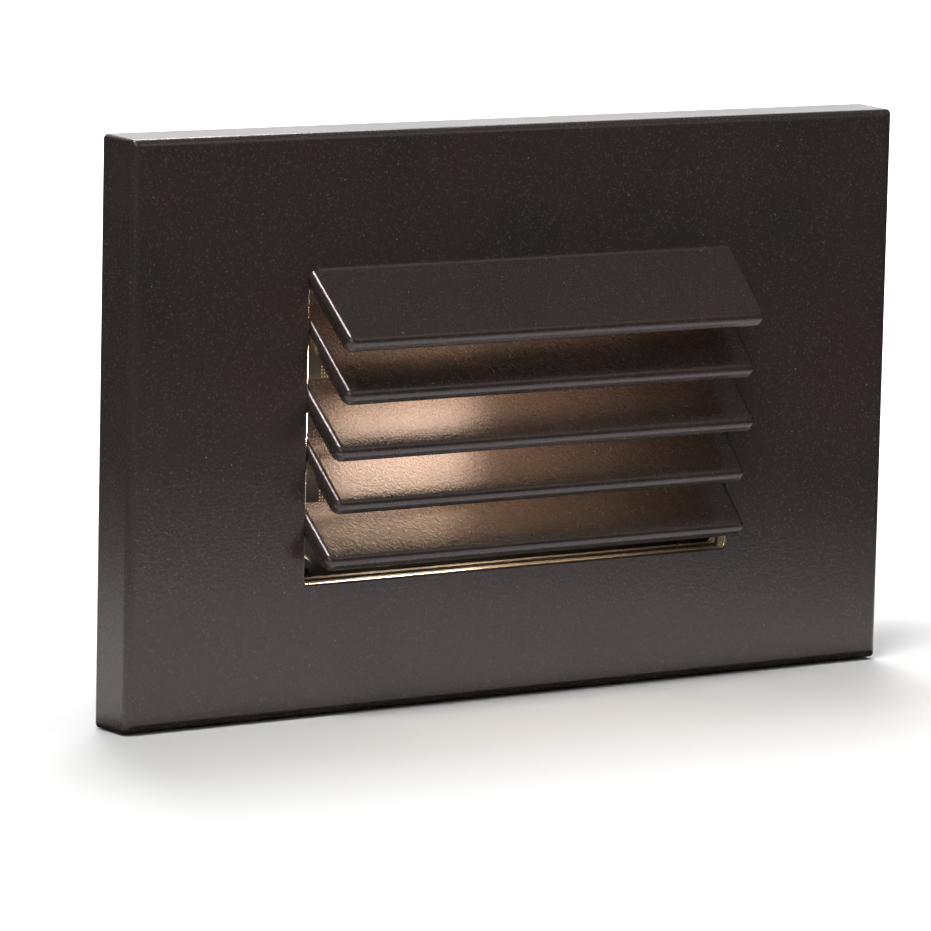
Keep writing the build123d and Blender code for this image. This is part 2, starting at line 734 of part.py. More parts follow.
with BuildPart() as pin_bushing:
    with BuildSketch(wall_plane(driver_board_front)):
        with Locations((0, feed_pin_height)):
            Rectangle(bushing_block_width, bushing_block_height)
            with GridLocations(feed_pin_spacing, 0, 2, 1):
                Circle(feed_pin_radius + running_gap, mode=Mode.SUBTRACT)
    extrude(amount=driver_board_front - led_board_back)
pin_bushing.part.label = "pin_bushing"
export_step(pin_bushing.part, "parts/pin_bushing.step")

# ------------------------------------------------------------------ driver
with BuildPart() as driver_board:
    with BuildSketch(wall_plane(driver_board_back)):
        Rectangle(driver_board_width, driver_board_height)
        with GridLocations(driver_screw_x, driver_screw_z, 2, 2):
            Circle(screw_hole_radius, mode=Mode.SUBTRACT)
        with GridLocations(cover_screw_x, cover_screw_z, 2, 2):
            Circle(screw_boss_radius + insulator_gap, mode=Mode.SUBTRACT)
        with Locations((0, feed_pin_height)):
            with GridLocations(feed_pin_spacing, 0, 2, 1):
                Circle(feed_pin_radius + running_gap, mode=Mode.SUBTRACT)
    extrude(amount=driver_board_thickness)
driver_board.part.label = "driver_board"
export_step(driver_board.part, "parts/driver_board.step")

board_screw = pan_screw(board_screw_length)
with BuildPart(box_plane(driver_board_back)) as driver_board_screws:
    with GridLocations(driver_screw_x, driver_screw_z, 2, 2):
        add(board_screw)
driver_board_screws.part.label = "driver_board_screws"
export_step(driver_board_screws.part, "parts/driver_board_screws.step")


def standing_can(place, radius, length):
    """A round can that stands on the back of the driver board, bevelled at both ends."""
    with BuildPart() as can:
        with BuildSketch(wall_plane(driver_board_back + length)):
            with Locations(place):
                Circle(radius)
        extrude(amount=length)
        chamfer(can.edges().filter_by(GeomType.CIRCLE), can_chamfer)
    return can.part


def leaded_package(place, width, height, thickness, leads, lead_pitch):
    """A flat moulded package on the driver board, with a row of leads on its left and on its right."""
    with BuildPart() as package:
        with BuildSketch(wall_plane(driver_board_back + lead_thickness + thickness)):
            with Locations(place):
                Rectangle(width, height)
        extrude(amount=thickness)
        with BuildSketch(wall_plane(driver_board_back + lead_thickness * 2)):
            with Locations(place):
                with GridLocations(width + lead_length, lead_pitch, 2, leads):
                    Rectangle(lead_length * 2, lead_width)
        extrude(amount=lead_thickness * 2)
    return package.part


with BuildPart() as filter_capacitor:
    add(standing_can(filter_capacitor_place, filter_capacitor_radius, filter_capacitor_length))
filter_capacitor.part.label = "filter_capacitor"
export_step(filter_capacitor.part, "parts/filter_capacitor.step")

with BuildPart() as output_capacitor:
    add(standing_can(output_capacitor_place, output_capacitor_radius, output_capacitor_length))
output_capacitor.part.label = "output_capacitor"
export_step(output_capacitor.part, "parts/output_capacitor.step")

with BuildPart() as film_capacitor:
    with BuildSketch(wall_plane(driver_board_back + film_capacitor_length)):
        with Locations(film_capacitor_place):
            Rectangle(film_capacitor_width, film_capacitor_height)
    extrude(amount=film_capacitor_length)
    chamfer(film_capacitor.faces().sort_by(Axis.Y)[-1].edges(), can_chamfer)
film_capacitor.part.label = "film_capacitor"
export_step(film_capacitor.part, "parts/film_capacitor.step")

# The transformer: a ferrite frame with a centre post along Z, a bobbin round the post, a winding on it
transformer_y = driver_board_back + spool_depth / 2
spool_width = core_width - 2 * core_leg - 2 * fitting_gap
spool_height = core_height - 2 * core_leg - 2 * fitting_gap
spool_hole_width = core_post + 2 * fitting_gap
spool_hole_depth = core_thickness + 2 * fitting_gap
spool_tube_width = spool_hole_width + 2 * spool_wall
spool_tube_depth = spool_hole_depth + 2 * spool_wall

with BuildPart() as transformer_core:
    with BuildSketch(wall_plane(transformer_y)):
        with Locations((transformer_x, transformer_z)):
            Rectangle(core_width, core_height)
            Rectangle(core_width - 2 * core_leg, core_height - 2 * core_leg, mode=Mode.SUBTRACT)
            Rectangle(core_post, core_height)
    extrude(amount=core_thickness / 2, both=True)
transformer_core.part.label = "transformer_core"
export_step(transformer_core.part, "parts/transformer_core.step")

with BuildPart() as transformer_bobbin:
    with BuildSketch(Plane.XY.offset(transformer_z)):
        with Locations((transformer_x, transformer_y)):
            Rectangle(spool_width, spool_depth)
            Rectangle(spool_hole_width, spool_hole_depth, mode=Mode.SUBTRACT)
    extrude(amount=spool_height / 2, both=True)
    with BuildSketch(Plane.XY.offset(transformer_z)):
        with Locations((transformer_x, transformer_y)):
            Rectangle(spool_width, spool_depth)
            Rectangle(spool_tube_width, spool_tube_depth, mode=Mode.SUBTRACT)
    extrude(amount=spool_height / 2 - spool_wall, both=True, mode=Mode.SUBTRACT)
transformer_bobbin.part.label = "transformer_bobbin"
export_step(transformer_bobbin.part, "parts/transformer_bobbin.step")

with BuildPart() as transformer_winding:
    with BuildSketch(Plane.XY.offset(transformer_z)):
        with Locations((transformer_x, transformer_y)):
            RectangleRounded(spool_width - spool_wall, spool_depth - spool_wall, spool_wall)
            Rectangle(spool_tube_width, spool_tube_depth, mode=Mode.SUBTRACT)
    extrude(amount=spool_height / 2 - spool_wall, both=True)
transformer_winding.part.label = "transformer_winding"
export_step(transformer_winding.part, "parts/transformer_winding.step")

with BuildPart() as choke:
    with BuildSketch(wall_plane(driver_board_back + choke_length)):
        with Locations(choke_place):
            Circle(choke_radius)
    extrude(amount=choke_length)
    with BuildSketch(wall_plane(driver_board_back + choke_length - choke_flange)):
        with Locations(choke_place):
            Circle(choke_radius)
            Circle(choke_radius - choke_groove, mode=Mode.SUBTRACT)
    extrude(amount=choke_length - 2 * choke_flange, mode=Mode.SUBTRACT)
choke.part.label = "choke"
export_step(choke.part, "parts/choke.step")

with BuildPart() as bridge_rectifier:
    add(
        leaded_package(
            rectifier_place,
            rectifier_width,
            rectifier_height,
            rectifier_thickness,
            rectifier_lead_count,
            rectifier_lead_pitch,
        )
    )
bridge_rectifier.part.label = "bridge_rectifier"
export_step(bridge_rectifier.part, "parts/bridge_rectifier.step")

with BuildPart() as driver_chip:
    add(leaded_package(chip_place, chip_width, chip_height, chip_thickness, chip_lead_count, chip_lead_pitch))
driver_chip.part.label = "driver_chip"
export_step(driver_chip.part, "parts/driver_chip.step")

# The varistor is a disc that stands on its two leads, its flat sides facing along X
with BuildPart() as varistor:
    with BuildSketch(Plane.YZ.offset(varistor_x)):
        with Locations((driver_board_back + varistor_stand + varistor_radius, varistor_z)):
            Circle(varistor_radius)
    extrude(amount=varistor_thickness / 2, both=True)
    chamfer(varistor.edges().filter_by(GeomType.CIRCLE), can_chamfer)
    with BuildSketch(wall_plane(driver_board_back + varistor_stand + varistor_radius)):
        with Locations((varistor_x, varistor_z)):
            with GridLocations(0, varistor_lead_spacing, 1, 2):
                Circle(varistor_lead_radius)
    extrude(amount=varistor_stand + varistor_radius)
varistor.part.label = "varistor"
export_step(varistor.part, "parts/varistor.step")

with BuildPart() as fuse:
    with BuildSketch(Plane.XY.offset(fuse_z)):
        with Locations((fuse_x, driver_board_back + fuse_radius)):
            Circle(fuse_radius)
    extrude(amount=fuse_length / 2, both=True)
    with BuildSketch(Plane.XY.offset(fuse_z)):
        with Locations((fuse_x, driver_board_back + fuse_radius)):
            Circle(fuse_radius)
            Circle(fuse_radius - fuse_cap_step, mode=Mode.SUBTRACT)
    extrude(amount=fuse_length / 2 - fuse_cap_length, both=True, mode=Mode.SUBTRACT)
fuse.part.label = "fuse"
export_step(fuse.part, "parts/fuse.step")

# ------------------------------------------------------------------ rear cover and what it carries
insulator_width = compartment_width - 2 * insulator_gap
insulator_height = compartment_height - 2 * insulator_gap
insulator_radius = compartment_corner_radius - insulator_gap
insulator_boss_radius = screw_boss_radius + insulator_gap
with BuildPart() as driver_insulator:
    with BuildSketch(wall_plane(cover_front)):
        RectangleRounded(insulator_width, insulator_height, insulator_radius)
        with GridLocations(cover_screw_x, cover_screw_z, 2, 2):
            Circle(insulator_boss_radius, mode=Mode.SUBTRACT)
    extrude(amount=insulator_wall + insulator_skirt)
    with BuildSketch(wall_plane(insulator_front)):
        RectangleRounded(
            insulator_width - 2 * insulator_wall,
            insulator_height - 2 * insulator_wall,
            insulator_radius - insulator_wall,
        )
        with GridLocations(cover_screw_x, cover_screw_z, 2, 2):
            Circle(insulator_boss_radius + insulator_wall, mode=Mode.SUBTRACT)
    extrude(amount=insulator_skirt, mode=Mode.SUBTRACT)
    with BuildSketch(wall_plane(cover_front)):
        Circle(bushing_hole_radius)
        with Locations((ground_screw_x, 0)):
            Circle(ground_boss_radius + fitting_gap)
    extrude(amount=insulator_wall, mode=Mode.SUBTRACT)
driver_insulator.part.label = "driver_insulator"
export_step(driver_insulator.part, "parts/driver_insulator.step")

with BuildPart() as cover_gasket:
    with BuildSketch(wall_plane(cover_front)):
        RectangleRounded(rear_width, rear_height, housing_corner_radius - housing_shrink)
        RectangleRounded(compartment_width, compartment_height, compartment_corner_radius, mode=Mode.SUBTRACT)
        with GridLocations(cover_screw_x, cover_screw_z, 2, 2):
            Circle(screw_boss_radius)
            Circle(screw_hole_radius, mode=Mode.SUBTRACT)
    extrude(amount=cover_gasket_thickness)
cover_gasket.part.label = "cover_gasket"
export_step(cover_gasket.part, "parts/cover_gasket.step")

with BuildPart() as rear_cover:
    with BuildSketch(wall_plane(cover_back)):
        RectangleRounded(rear_width, rear_height, housing_corner_radius - housing_shrink)
    extrude(amount=cover_thickness)
    chamfer(rear_cover.faces().sort_by(Axis.Y)[-1].edges(), cover_edge_chamfer)
    with BuildSketch(wall_plane(cover_front)):
        with Locations((ground_screw_x, 0)):
            Circle(ground_boss_radius)
    extrude(amount=ground_boss_height)
    with BuildSketch(wall_plane(cover_back)):
        Circle(bushing_hole_radius)
        with GridLocations(cover_screw_x, cover_screw_z, 2, 2):
            Circle(screw_hole_radius)
    extrude(amount=cover_thickness, mode=Mode.SUBTRACT)
    with BuildSketch(wall_plane(cover_back)):
        with Locations((ground_screw_x, 0)):
            Circle(ground_screw_radius + running_gap)
    extrude(amount=cover_thickness + ground_boss_height, mode=Mode.SUBTRACT)
rear_cover.part.label = "rear_cover"
export_step(rear_cover.part, "parts/rear_cover.step")

cover_screw = pan_screw(cover_screw_length)
with BuildPart(box_plane(cover_back)) as cover_screws:
    with GridLocations(cover_screw_x, cover_screw_z, 2, 2):
        add(cover_screw)
cover_screws.part.label = "cover_screws"
export_step(cover_screws.part, "parts/cover_screws.step")

# The bushing's barrel goes through the cover and the insulator, and its lip snaps out behind them
barrel_radius = bushing_hole_radius - running_gap
with BuildPart() as wire_bushing:
    with BuildSketch(Plane.XY):
        with BuildLine():
            Polyline(
                (wire_bore_radius, insulator_front - bushing_lip_length),
                (barrel_radius, insulator_front - bushing_lip_length),
                (barrel_radius + bushing_lip, insulator_front - bushing_lip),
                (barrel_radius + bushing_lip, insulator_front),
                (barrel_radius, insulator_front),
                (barrel_radius, cover_back),
                (bushing_flange_radius, cover_back),
                (bushing_flange_radius, cover_back + bushing_flange_thickness / 2),
                (bushing_flange_radius - bushing_lip, cover_back + bushing_flange_thickness),
                (wire_bore_radius, cover_back + bushing_flange_thickness),
                close=True,
            )
        make_face()
    revolve(axis=Axis.Y)
wire_bushing.part.label = "wire_bushing"
export_step(wire_bushing.part, "parts/wire_bushing.step")

with BuildPart() as ground_screw:
    with BuildSketch(wall_plane(cover_back + ground_washer_thickness)):
        with Locations((ground_screw_x, 0)):
            Circle(ground_washer_radius)
    extrude(amount=ground_washer_thickness)
    with BuildSketch(wall_plane(cover_back + ground_washer_thickness + ground_hex_height)):
        with Locations((ground_screw_x, 0)):
            RegularPolygon(ground_hex_radius, 6)
    extrude(amount=ground_hex_height)
    with BuildSketch(wall_plane(cover_back)):
        with Locations((ground_screw_x, 0)):
            Circle(ground_screw_radius)
    extrude(amount=ground_screw_length)
    with BuildSketch(wall_plane(cover_back + ground_washer_thickness + ground_hex_height)):
        with Locations((ground_screw_x, 0)):
            Rectangle(ground_slot_width, 2 * ground_hex_radius)
    extrude(amount=ground_hex_height / 2, mode=Mode.SUBTRACT)
ground_screw.part.label = "ground_screw"
export_step(ground_screw.part, "parts/ground_screw.step")
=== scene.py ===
# %% [markdown]
# # A louvred step light, dressed for its portrait
#
# The object is a cast cover plate with five slanted louvres. A lamp housing behind it goes into a wall
# box, and warm light leaves between the louvres. The solids come from the CAD model, at their real size
# and in their real place, so this lesson makes hardly any shape: it adds only the roots of the louvres,
# which the drawing cuts away for the light. Its real work is to give each piece the finish that a hand
# would feel: powder coat, raw casting, rubber, glass, nylon.
#
# One unit is one metre. +X runs along the plate, +Z is up, and the light faces -Y.

# %% Load the frame
import math

import bpy
from mathutils import Matrix, Vector


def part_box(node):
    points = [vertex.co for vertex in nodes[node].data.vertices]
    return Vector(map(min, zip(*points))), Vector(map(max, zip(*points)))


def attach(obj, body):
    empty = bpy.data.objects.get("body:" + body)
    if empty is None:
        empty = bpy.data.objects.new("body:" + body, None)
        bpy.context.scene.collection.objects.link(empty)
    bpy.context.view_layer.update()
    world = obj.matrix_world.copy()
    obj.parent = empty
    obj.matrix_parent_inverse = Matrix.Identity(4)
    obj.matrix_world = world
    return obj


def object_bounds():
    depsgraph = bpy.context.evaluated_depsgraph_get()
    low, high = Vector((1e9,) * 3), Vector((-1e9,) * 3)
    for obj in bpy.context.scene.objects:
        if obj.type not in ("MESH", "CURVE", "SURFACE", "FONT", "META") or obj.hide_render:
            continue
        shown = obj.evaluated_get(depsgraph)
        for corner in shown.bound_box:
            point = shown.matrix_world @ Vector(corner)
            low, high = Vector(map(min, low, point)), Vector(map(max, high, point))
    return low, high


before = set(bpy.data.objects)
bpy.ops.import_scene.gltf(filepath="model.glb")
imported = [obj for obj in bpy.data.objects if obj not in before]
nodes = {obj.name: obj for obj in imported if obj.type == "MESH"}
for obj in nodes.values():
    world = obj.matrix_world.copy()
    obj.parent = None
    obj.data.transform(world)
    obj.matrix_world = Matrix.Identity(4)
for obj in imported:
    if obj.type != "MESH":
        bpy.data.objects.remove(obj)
cad_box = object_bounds()
mm = 0.001
print("pieces in the frame:", len(nodes))

# %% [markdown]
# ## The camera
#
# The picture was taken from the left and a little above, with a long lens, which keeps the plate's edges
# nearly parallel. A camera can be placed by eye, but the plate gives better help: its four corners and
# the opening's four corners fix the camera's place exactly once the plate's size is known. The numbers
# below came from that fit. The camera looks along its own -Z axis, so a quaternion that points -Z down
# the line of sight does most of the work, and a small roll about that line does the rest.

# %% Place the camera
sight_azimuth = math.radians(34.76)
sight_elevation = math.radians(8.34)
camera_roll = math.radians(1.28)
camera_distance = 843.8 * mm
aim = Vector((-9.53, -7.4, -6.93)) * mm

line_of_sight = Vector((
    math.sin(sight_azimuth) * math.cos(sight_elevation),
    math.cos(sight_azimuth) * math.cos(sight_elevation),
    -math.sin(sight_elevation),
))
camera_data = bpy.data.cameras.new("portrait_camera")
camera_data.lens = 237.79
camera_data.sensor_width = 36.0
camera_data.clip_start = 0.01
camera = bpy.data.objects.new("portrait_camera", camera_data)
bpy.context.scene.collection.objects.link(camera)
level = line_of_sight.to_track_quat("-Z", "Y").to_matrix().to_4x4()
camera.matrix_world = (
    Matrix.Translation(aim - line_of_sight * camera_distance) @ level @ Matrix.Rotation(camera_roll, 4, "Z")
)
bpy.context.scene.camera = camera
print("camera at", [round(value, 4) for value in camera.matrix_world.translation])

# %% [markdown]
# ## Building a finish from nodes
#
# Every finish here starts from the Principled shader. Numbers that are the same all over a surface are
# set on the shader itself. What changes over the surface, such as grain, mottling or dust, comes from
# texture nodes that read the piece's own coordinates, so it stays put when the camera moves. Image
# textures would need files and unwrapped surfaces. Node textures need neither, and never run out of
# detail.

# %% Small tools for node work
def add_node(finish, kind, **settings):
    """Adds a node, and sets its sockets or properties by name (a space in a socket's name is a _)."""
    node = finish.node_tree.nodes.new(kind)
    for name, value in settings.items():
        socket = name.replace("_", " ")
        if socket in node.inputs:
            node.inputs[socket].default_value = value
        else:
            setattr(node, name, value)
    return node


def join(finish, from_socket, to_socket):
    finish.node_tree.links.new(from_socket, to_socket)


def new_finish(name, colour, roughness, metallic=0.0, **shader_values):
    """A material with a Principled shader, and the piece's own coordinates ready to use."""
    finish = bpy.data.materials.new(name)
    finish.use_nodes = True
    shader = finish.node_tree.nodes["Principled BSDF"]
    shader.inputs["Base Color"].default_value = (*colour, 1.0)
    shader.inputs["Roughness"].default_value = roughness
    shader.inputs["Metallic"].default_value = metallic
    for socket, value in shader_values.items():
        shader.inputs[socket.replace("_", " ")].default_value = value
    place = add_node(finish, "ShaderNodeTexCoord")
    place.name = "place"
    return finish


def shader_of(finish):
    return finish.node_tree.nodes["Principled BSDF"]


def place_of(finish):
    return finish.node_tree.nodes["place"].outputs["Object"]


def math_node(finish, operation, *values):
    """A Math node on values, each of which is a number or another node's socket."""
    node = add_node(finish, "ShaderNodeMath", operation=operation)
    for socket, value in zip(node.inputs, values):
        if isinstance(value, bpy.types.NodeSocket):
            join(finish, value, socket)
        else:
            socket.default_value = value
    return node.outputs["Value"]


print("node tools are ready")

# %% [markdown]
# Three things turn up on almost every made surface. The colour is never quite even, the surface has a
# fine relief that breaks up reflections, and the gloss varies a little with handling. Each gets a helper.
# The size of each pattern is given in millimetres, because that is how one sees it on the bench. Noise
# rarely comes near 0 or 1, so its middle range is stretched before it is used.

# %% Mottle, relief and gloss
noise_middle = (0.3, 0.7)


def noise(finish, size, detail=2.0, distortion=0.0):
    """Cloudy noise whose blobs are about size millimetres across."""
    texture = add_node(
        finish, "ShaderNodeTexNoise", Scale=1.0 / (size * mm), Detail=detail, Distortion=distortion
    )
    join(finish, place_of(finish), texture.inputs["Vector"])
    return texture.outputs["Fac"]


def blend_colours(finish, factor, first, second):
    mix = add_node(finish, "ShaderNodeMix", data_type="RGBA")
    colours = [socket for socket in mix.inputs if socket.type == "RGBA"]
    for socket, value in zip(colours, (first, second)):
        if isinstance(value, bpy.types.NodeSocket):
            join(finish, value, socket)
        else:
            socket.default_value = (*value, 1.0)
    join(finish, factor, mix.inputs["Factor"])
    return [socket for socket in mix.outputs if socket.type == "RGBA"][0]


def stretch(finish, value, low, high, to_low=0.0, to_high=1.0):
    """Maps the range low..high of a value to to_low..to_high, and clips it there."""
    ramp = add_node(finish, "ShaderNodeMapRange")
    join(finish, value, ramp.inputs["Value"])
    ramp.inputs["From Min"].default_value = low
    ramp.inputs["From Max"].default_value = high
    ramp.inputs["To Min"].default_value = to_low
    ramp.inputs["To Max"].default_value = to_high
    return ramp.outputs["Result"]


def add_relief(finish, height, depth):
    """Bends the surface by a height map; depth is the relief's real depth in millimetres."""
    bump = add_node(finish, "ShaderNodeBump", Distance=depth * mm, Strength=1.0)
    join(finish, height, bump.inputs["Height"])
    shader = shader_of(finish)
    if shader.inputs["Normal"].links:
        join(finish, shader.inputs["Normal"].links[0].from_socket, bump.inputs["Normal"])
    join(finish, bump.outputs["Normal"], shader.inputs["Normal"])


def mottle(finish, first, second, size):
    """Lets the colour drift between two near colours, in clouds about size millimetres across."""
    clouds = stretch(finish, noise(finish, size), *noise_middle)
    join(finish, blend_colours(finish, clouds, first, second), shader_of(finish).inputs["Base Color"])


def vary_gloss(finish, low, high, size):
    """Lets the roughness drift between low and high, in clouds about size millimetres across."""
    clouds = stretch(finish, noise(finish, size, detail=3.0), *noise_middle, low, high)
    join(finish, clouds, shader_of(finish).inputs["Roughness"])


def paint(finish, *names):
    """Gives a finish to CAD pieces, in place of the plain colour they came with."""
    for name in names:
        piece = nodes[name]
        piece.data.materials.clear()
        piece.data.materials.append(finish)
    print(finish.name, "on", ", ".join(names))


print("noise is stretched from", noise_middle, "to 0 and 1")

# %% [markdown]
# ## The powder coat
#
# The face is die-cast aluminium under a dark bronze powder coat. The powder melts into a film about 80
# micrometres thick, which flows but not quite flat: it keeps a soft orange-peel relief with hills about
# half a millimetre apart. That relief barely shows on the flat plate and is plain on the lit louvres,
# where each hill catches its own small picture of the lamp. The coat is nearly black with a brown cast.
# It is smoother than it looks, so bright things are mirrored in it, dimly but clearly.
#
# A flat dark colour would look like plastic. Three things sell the finish: the relief, the grain of the
# pigment and the dust. The grain comes first. Paler flakes a quarter of a millimetre across sit in a
# cloudy dark ground, and the film's mirror images are tinted a little warm.

# %% Mix the powder coat
bronze_dark = (0.0240, 0.0195, 0.0165)
bronze_light = (0.0310, 0.0215, 0.0190)
bronze_flake = (0.0900, 0.0760, 0.0690)
warm_gloss = (1.0, 0.84, 0.88, 1.0)
powder_coat = new_finish("bronze_powder_coat", bronze_dark, 0.22, IOR=1.58, Specular_Tint=warm_gloss)
cloud_size = 18.0
flake_size = 0.28
coat_clouds = stretch(powder_coat, noise(powder_coat, cloud_size, detail=3.0), *noise_middle)
coat_ground = blend_colours(powder_coat, coat_clouds, bronze_dark, bronze_light)
coat_flakes = stretch(powder_coat, noise(powder_coat, flake_size, detail=1.0), 0.60, 0.85)
coat_colour = blend_colours(powder_coat, coat_flakes, coat_ground, bronze_flake)
print("clouds of", cloud_size, "mm and flakes of", flake_size, "mm in the coat")

# %% [markdown]
# A dark satin surface always carries pale dust. It lies there as single specks, a fifth of a millimetre
# across, with bare coat between. A Voronoi texture gives one random point in each cell: close to the point
# is a speck, and a random number per cell leaves most cells clean. It is read in the plate's plane, X and
# Z, so that a speck is a dot there and not a slice through a ball that may miss the surface. Squeezing one
# direction of the pattern turns dots into hairs, which lie on any dark surface as well, only fainter.

# %% Scatter the dust
def specks(finish, cell, radius, share, squeeze=1.0, turn=0.0):
    """1 on a speck and 0 beside it. cell is their spacing, radius their size and share how many cells
    have one; squeeze draws the specks out into hairs, and turn leans them over by so many degrees."""
    lean = add_node(finish, "ShaderNodeMapping")
    lean.inputs["Rotation"].default_value = (0.0, math.radians(turn), 0.0)
    lean.inputs["Scale"].default_value = (1.0, 1.0, squeeze)
    join(finish, place_of(finish), lean.inputs["Vector"])
    split = add_node(finish, "ShaderNodeSeparateXYZ")
    flat = add_node(finish, "ShaderNodeCombineXYZ")
    join(finish, lean.outputs["Vector"], split.inputs["Vector"])
    join(finish, split.outputs["X"], flat.inputs["X"])
    join(finish, split.outputs["Z"], flat.inputs["Y"])
    cells = add_node(
        finish, "ShaderNodeTexVoronoi", voronoi_dimensions="2D", Scale=1.0 / (cell * mm), Randomness=1.0
    )
    join(finish, flat.outputs["Vector"], cells.inputs["Vector"])
    dot = stretch(finish, cells.outputs["Distance"], radius / cell, radius / cell * 0.4)
    lottery = add_node(finish, "ShaderNodeSeparateColor")
    join(finish, cells.outputs["Color"], lottery.inputs["Color"])
    chosen = stretch(finish, lottery.outputs["Red"], 1.0 - share, 1.0)
    return math_node(finish, "MULTIPLY", dot, chosen)


dust_colour = (0.42, 0.41, 0.40)
hair_strength = 0.25
dust = specks(powder_coat, 4.3, 0.10, 0.16)
hairs = specks(powder_coat, 13.0, 0.30, 0.20, squeeze=0.12, turn=35.0)
faint_hairs = stretch(powder_coat, hairs, 0.0, 1.0, 0.0, hair_strength)
with_dust = blend_colours(powder_coat, dust, coat_colour, dust_colour)
with_hairs = blend_colours(powder_coat, faint_hairs, with_dust, dust_colour)
join(powder_coat, with_hairs, shader_of(powder_coat).inputs["Base Color"])
print("specks and hairs of the colour", dust_colour)

# %% [markdown]
# Last come the orange peel and the gloss. The hills are only a fiftieth of a millimetre high, which a
# bump can carry: they never show in the outline.

# %% Give the coat its orange peel
hill_size = 0.42
hill_height = 0.02
add_relief(powder_coat, noise(powder_coat, hill_size, detail=1.0), hill_height)
vary_gloss(powder_coat, 0.20, 0.25, 14.0)
paint(powder_coat, "face_plate", "louvre_insert")

# %% [markdown]
# ## The roots of the louvres
#
# The drawing stops the four lower louvres a millimetre in front of the plate, between two webs at their
# ends. Seen from above, the castings carry on: each louvre runs back in its own slope until it meets the
# plate. That stretch could be traced by hand, but the cut itself says everything. Its corners are read
# from the mesh, and pushing them back along the louvre's slope gives a block that continues it exactly.
#
# The lamp's light reaches the louvres past their rear edges, so the blocks are there for the camera alone,
# and light passes as if they were still cut away.

# %% Read the cuts from the castings
slat_cut = -8.4 * mm
same_place = 0.01 * mm
slat_gap = 3.0 * mm
sloping = 0.6


def slope_of_slats(casting):
    """The slope of a casting's louvres as rise over run, from its largest sloping upper face."""
    tops = [face for face in casting.data.polygons if face.normal.z > sloping and face.normal.y < -sloping]
    normal = max(tops, key=lambda face: face.area).normal
    return -normal.y / normal.z


def cuts_of_slats(casting):
    """The lowest and highest corner of each louvre's cut, from the mesh corners that lie in its plane."""
    corners = [corner.co for corner in casting.data.vertices if abs(corner.co.y - slat_cut) < same_place]
    corners.sort(key=lambda corner: corner.z)
    cuts = []
    for corner in corners:
        if not cuts or corner.z - cuts[-1][-1].z > slat_gap:
            cuts.append([])
        cuts[-1].append(corner)
    return cuts


for casting_name in ("face_plate", "louvre_insert"):
    print(casting_name, "has", len(cuts_of_slats(nodes[casting_name])), "louvres that are cut")

# %% [markdown]
# A block has eight corners: four at the cut and the same four again, moved back and up the slope. The
# face plate's louvres end at its inner face and the insert's at its back.

# %% Carry the louvres on to the plate
block_faces = ((0, 1, 2, 3), (7, 6, 5, 4), (0, 4, 5, 1), (1, 5, 6, 2), (2, 6, 7, 3), (3, 7, 4, 0))
plate_inner_face = -5.5 * mm
insert_back = -4.2 * mm


def for_the_camera_alone(piece):
    for ray in ("shadow", "diffuse", "glossy", "transmission"):
        setattr(piece, "visible_" + ray, False)


def slat_roots(name, casting, back):
    """Blocks that carry a casting's louvres on from the cut to the plane y = back."""
    slope = slope_of_slats(casting)
    run = back - slat_cut
    corners, faces = [], []
    for cut in cuts_of_slats(casting):
        left = min(corner.x for corner in cut)
        right = max(corner.x for corner in cut)
        low = cut[0].z
        high = cut[-1].z
        first = len(corners)
        for y, climb in ((slat_cut, 0.0), (back, run * slope)):
            corners += [
                (left, y, low + climb),
                (right, y, low + climb),
                (right, y, high + climb),
                (left, y, high + climb),
            ]
        faces += [[first + corner for corner in face] for face in block_faces]
        print(name, "at z", round(low / mm, 2), "to", round(high / mm, 2), "mm, slope", round(slope, 3))
    mesh = bpy.data.meshes.new(name)
    mesh.from_pydata(corners, [], faces)
    mesh.materials.append(powder_coat)
    piece = bpy.data.objects.new(name, mesh)
    bpy.context.scene.collection.objects.link(piece)
    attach(piece, "face")
    for_the_camera_alone(piece)
    return piece


louvre_roots = [
    slat_roots("plate_slat_roots", nodes["face_plate"], plate_inner_face),
    slat_roots("insert_slat_roots", nodes["louvre_insert"], insert_back),
]

# %% [markdown]
# ## The lens, lit from behind
#
# Behind the louvres stands a pressed-glass lens with rows of small prisms. Each prism shows its own
# little picture of the LEDs, so from outside the lens is a grid of gold dots on near-black. Real prisms
# would be some ten thousand pyramids with light bouncing inside each one. The dots are painted light
# instead, glow in the finish: a wave along X times a wave along Z peaks once in each prism.
#
# Glass that the lamp shines through is costly: the light that it bends is found only by chance. So the
# lens is there for the camera alone, and light passes as if the glass were perfectly clear.

# %% Light the lens
prism_pitch = 0.45
lens_finish = new_finish("prismatic_lens", (0.02, 0.012, 0.006), 0.15, IOR=1.5)


def ridges(finish, axis, pitch):
    """A wave from 0 to 1 that repeats every pitch millimetres along one axis."""
    split = add_node(finish, "ShaderNodeSeparateXYZ")
    join(finish, place_of(finish), split.inputs["Vector"])
    angle = math_node(finish, "MULTIPLY", split.outputs[axis], 2.0 * math.pi / (pitch * mm))
    return stretch(finish, math_node(finish, "SINE", angle), -1.0, 1.0)


across = ridges(lens_finish, "X", prism_pitch)
upward = ridges(lens_finish, "Z", prism_pitch)
prisms = math_node(lens_finish, "MULTIPLY", across, upward)
# painted light: gold glow dots that stand for the LEDs seen through the prisms
painted_light_dots = stretch(lens_finish, prisms, 0.55, 0.95)
between_dots = (0.006, 0.003, 0.001)
painted_dot_gold = (1.0, 0.56, 0.22)
painted_prism_light = blend_colours(lens_finish, painted_light_dots, between_dots, painted_dot_gold)
join(lens_finish, painted_prism_light, shader_of(lens_finish).inputs["Emission Color"])
shader_of(lens_finish).inputs["Emission Strength"].default_value = 0.8
add_relief(lens_finish, prisms, 0.1)
paint(lens_finish, "lens")
for_the_camera_alone(nodes["lens"])

